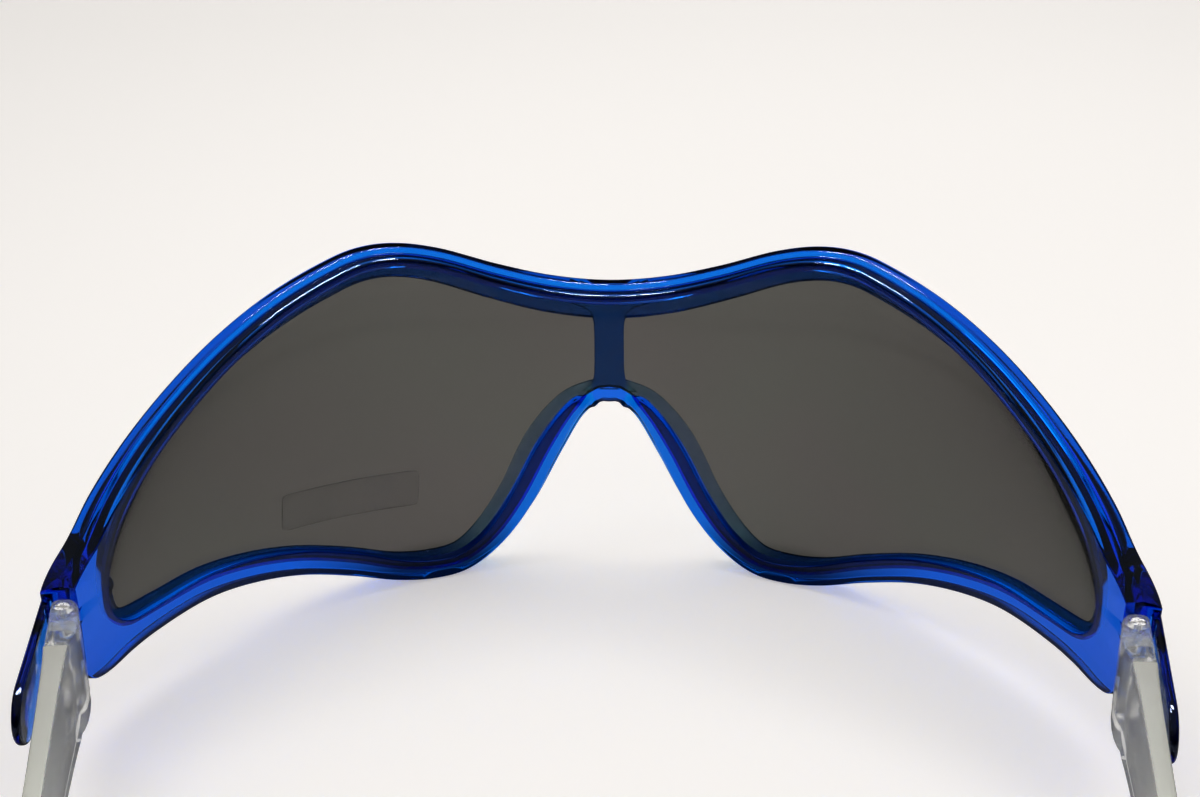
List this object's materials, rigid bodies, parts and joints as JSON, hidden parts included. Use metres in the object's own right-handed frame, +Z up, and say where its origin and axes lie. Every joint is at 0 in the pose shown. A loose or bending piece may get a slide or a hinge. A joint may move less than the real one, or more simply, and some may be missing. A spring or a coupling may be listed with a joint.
{
  "type": "cycling sunglasses",
  "caption": "Wraparound cycling sunglasses: smoke shield lens in a translucent blue one-piece rim, with a wing of the rim outside each clear folding temple.",
  "frame": {"origin": "on the surface the glasses stand on, in the middle of their width and depth", "axes": "+X to the wearer's right, +Y the way the wearer looks, +Z up"},
  "size_m": [0.143, 0.1655, 0.0547],
  "materials": {
    "blue_clear_plastic": "glossy translucent blue injection-moulded plastic",
    "smoke_lens": "polished smoke-grey see-through plastic",
    "clear_plastic": "colourless clear plastic, lightly frosted inside",
    "clear_film": "plain clear self-adhesive film, nothing printed",
    "screw_steel": "plated steel"
  },
  "bodies": {
    "front": {"frame_front": "blue_clear_plastic", "shield_lens": "smoke_lens", "lens_film": "clear_film", "hinge_screw_left": "screw_steel", "hinge_screw_right": "screw_steel"},
    "left_arm": {"temple_left": "clear_plastic", "hinge_nut_left": "screw_steel"},
    "right_arm": {"temple_right": "clear_plastic", "hinge_nut_right": "screw_steel"}
  },
  "joints": [
    {"name": "hinge_left", "type": "hinge", "parent": "front", "child": "left_arm", "pos_m": [-0.06819, 0.02912, 0.02], "axis": [0, 0, 1], "range_deg": [-4.5, 84.5]},
    {"name": "hinge_right", "type": "hinge", "parent": "front", "child": "right_arm", "pos_m": [0.06819, 0.02912, 0.02], "axis": [0, 0, -1], "range_deg": [0, 81]}
  ]
}
